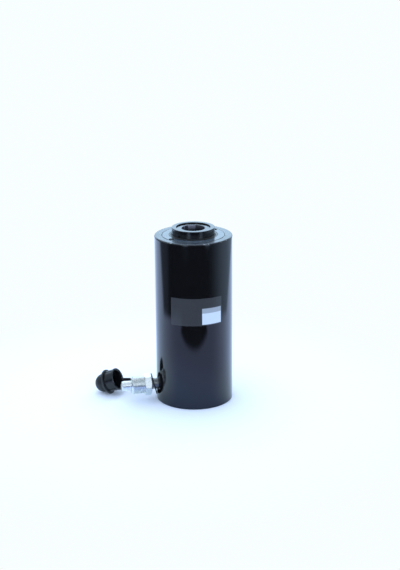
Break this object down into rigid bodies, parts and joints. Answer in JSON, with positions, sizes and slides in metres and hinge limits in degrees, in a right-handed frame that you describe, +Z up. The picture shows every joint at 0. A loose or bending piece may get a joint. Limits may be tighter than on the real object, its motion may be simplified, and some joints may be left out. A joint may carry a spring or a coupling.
{
  "type": "hollow plunger cylinder",
  "caption": "Tall round single-acting hydraulic cylinder with a hollow plunger, a centre hole right through, a side coupler near the base and a tethered dust cap.",
  "frame": {"origin": "on the floor that the cylinder and its cap stand on, under the middle of the box that holds both", "axes": "+Z up along the bore, -X the way that the coupler points, +Y to the side where the dust cap lies"},
  "size_m": [0.2013, 0.1154, 0.2635],
  "materials": {
    "black_paint": "gloss black enamel",
    "black_steel": "black oxide steel, satin",
    "bare_steel": "ground steel",
    "spring_steel": "dark drawn wire",
    "zinc_plate": "bright zinc plate",
    "bronze": "bearing bronze",
    "black_rubber": "matt black rubber",
    "seal_plastic": "dark blue polyurethane",
    "black_plastic": "satin black moulded plastic"
  },
  "bodies": {
    "barrel": {"barrel_body": "black_paint", "centre_tube": "bare_steel", "centre_tube_seal": "black_rubber", "gland_nut": "black_steel", "gland_bearing": "bronze", "gland_wiper": "black_rubber", "return_spring": "spring_steel", "coupler_adapter": "zinc_plate", "coupler_body": "zinc_plate", "poppet_retainer": "zinc_plate", "poppet_spring": "spring_steel"},
    "plunger": {"plunger": "black_steel", "saddle": "black_steel", "piston_ucup": "seal_plastic", "piston_backup_ring": "black_plastic", "piston_guide_ring": "bronze", "inner_ucup": "seal_plastic", "inner_backup_ring": "black_plastic", "inner_guide_ring": "bronze"},
    "poppet": {"poppet": "bare_steel", "poppet_o_ring": "black_rubber"},
    "tether": {"cap_tether": "black_rubber"},
    "dust_cap": {"dust_cap": "black_plastic"}
  },
  "joints": [
    {"name": "plunger_stroke", "type": "slide", "parent": "barrel", "child": "plunger", "axis": [0, 0, 1], "range_m": [0, 0.1], "stiffness_N_per_m": 3000, "springref_m": -0.03, "deforming": ["return_spring"]},
    {"name": "poppet_slide", "type": "slide", "parent": "barrel", "child": "poppet", "axis": [1, 0, 0], "range_m": [0, 0.0025], "stiffness_N_per_m": 1500, "springref_m": -0.0015, "deforming": ["poppet_spring"]},
    {"name": "tether_swing", "type": "hinge", "parent": "barrel", "child": "tether", "pos_m": [-0.01828, -0.00077, 0.0245], "axis": [1, 0, 0], "continuous": true},
    {"name": "cap_spin", "type": "hinge", "parent": "tether", "child": "dust_cap", "pos_m": [-0.08138, 0.04033, 0.01757], "axis": [0.7767, -0.5063, 0.3746], "continuous": true}
  ]
}
